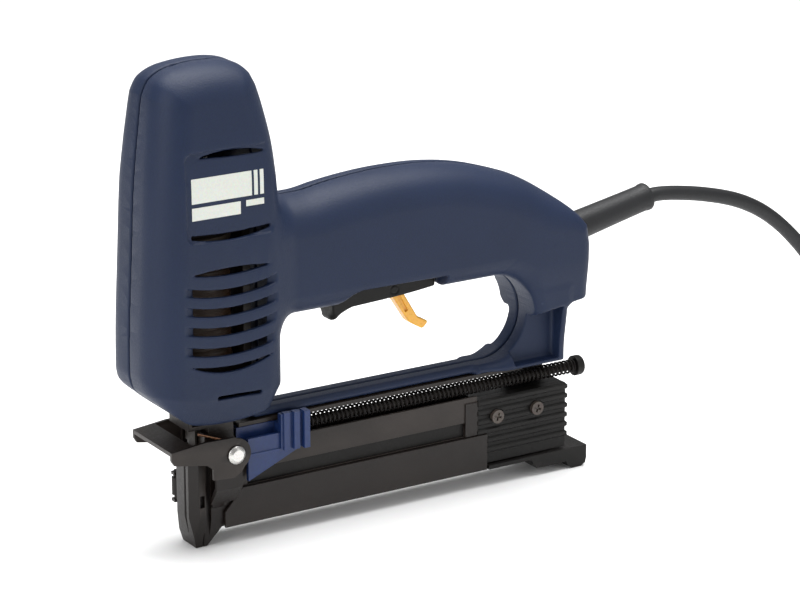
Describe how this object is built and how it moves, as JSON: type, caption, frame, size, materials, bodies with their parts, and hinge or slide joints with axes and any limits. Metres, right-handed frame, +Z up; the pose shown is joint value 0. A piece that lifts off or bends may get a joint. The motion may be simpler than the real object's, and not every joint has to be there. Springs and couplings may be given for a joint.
{
  "type": "electric staple gun",
  "caption": "Corded electric staple gun with a moulded two-shell housing, closed hand grip, sprung trigger with lock lever, long side magazine and a latched nose.",
  "frame": {"origin": "centre of the staple exit, on the ground that the nose tip and the rear foot stand on", "axes": "+Z up along the driver blade's path, +X from the nose towards the cord, -Y to the tool's left side"},
  "size_m": [0.544, 0.059, 0.1966],
  "materials": {
    "shell": "fine spark-eroded texture",
    "blue_plastic": "smooth moulded",
    "black_plastic": "satin",
    "amber_plastic": "smooth moulded",
    "painted_steel": "satin brown-black coating",
    "bright_steel": "turned",
    "spring_steel": "oiled wire",
    "copper_wire": "bright wire",
    "winding": "varnished tape",
    "bobbin": "moulded",
    "board": "lacquered",
    "components": "moulded",
    "label": "printed",
    "rubber": "matt"
  },
  "bodies": {
    "housing": {"housing_left": "shell", "housing_right": "shell", "housing_screws": "bright_steel", "label_plate": "label", "trigger_pin": "bright_steel", "trigger_spring": "spring_steel", "switch_body": "black_plastic", "circuit_board": "board", "board_parts": "components", "solenoid_frame": "painted_steel", "coil_bobbin": "bobbin", "coil_winding": "winding", "return_spring": "spring_steel", "plunger_bumper": "rubber", "top_bumper": "rubber", "cable_clamp": "black_plastic", "clamp_screws": "bright_steel", "inner_leads": "rubber", "nose_body": "painted_steel", "gate_pin": "painted_steel", "nose_bracket": "painted_steel", "latch_rivet": "bright_steel", "latch_spring": "copper_wire", "side_plate_left": "painted_steel", "side_plate_right": "painted_steel", "guide_plate_left": "painted_steel", "guide_plate_right": "painted_steel", "staple_guide_left": "black_plastic", "staple_guide_right": "black_plastic", "top_rail": "painted_steel", "rear_block": "black_plastic", "block_screws": "spring_steel", "guide_rod": "bright_steel", "rod_cap": "black_plastic", "follower_spring": "spring_steel", "catch_spring": "spring_steel", "strain_relief": "rubber", "cord_lead": "rubber", "cord_hank": "rubber", "cord_end": "rubber", "cord_tie": "black_plastic", "plug_body": "rubber", "plug_pins": "bright_steel"},
    "trigger": {"trigger": "black_plastic", "lock_lever_pin": "bright_steel"},
    "lock_lever": {"lock_lever": "amber_plastic"},
    "switch_button": {"switch_button": "components"},
    "plunger": {"plunger": "bright_steel", "driver_blade": "bright_steel", "driver_pin": "bright_steel"},
    "staple_pusher": {"staple_pusher": "blue_plastic"},
    "staple_rail": {"magazine_rail": "painted_steel", "rail_foot": "black_plastic"},
    "nose_gate": {"nose_gate": "painted_steel"},
    "latch_lever": {"latch_lever": "painted_steel"}
  },
  "joints": [
    {"name": "trigger_pull", "type": "hinge", "parent": "housing", "child": "trigger", "pos_m": [0.106, 0, 0.0952], "axis": [0, 1, 0], "range_deg": [0, 6], "stiffness_Nm_per_rad": 0.8, "springref_deg": -6.88, "deforming": ["trigger_spring"]},
    {"name": "lock_release", "type": "hinge", "parent": "trigger", "child": "lock_lever", "pos_m": [0.09, 0, 0.0926], "axis": [0, -1, 0], "range_deg": [0, 18], "stiffness_Nm_per_rad": 0.03, "springref_deg": -17.19},
    {"name": "switch_press", "type": "slide", "parent": "housing", "child": "switch_button", "axis": [0, 0, 1], "range_m": [0, 0.0026]},
    {"name": "driver_stroke", "type": "slide", "parent": "housing", "child": "plunger", "axis": [0, 0, -1], "range_m": [0, 0.035], "stiffness_N_per_m": 150, "springref_m": -0.06, "deforming": ["return_spring"]},
    {"name": "pusher_slide", "type": "slide", "parent": "housing", "child": "staple_pusher", "axis": [1, 0, 0], "range_m": [0, 0.076], "stiffness_N_per_m": 40, "springref_m": -0.1, "deforming": ["follower_spring"]},
    {"name": "rail_slide", "type": "slide", "parent": "housing", "child": "staple_rail", "axis": [1, 0, 0], "range_m": [0, 0.1]},
    {"name": "gate_swing", "type": "hinge", "parent": "housing", "child": "nose_gate", "pos_m": [-0.0024, 0.0101, 0.0217], "axis": [0, 0, -1], "range_deg": [0, 70]},
    {"name": "latch_lift", "type": "hinge", "parent": "housing", "child": "latch_lever", "pos_m": [0.0105, 0, 0.0405], "axis": [0, 1, 0], "range_deg": [0, 12], "stiffness_Nm_per_rad": 0.3, "springref_deg": -17.19}
  ],
  "couplings": [
    {"joint": "switch_press", "follows": "trigger_pull", "m_per_rad": 0.024}
  ]
}
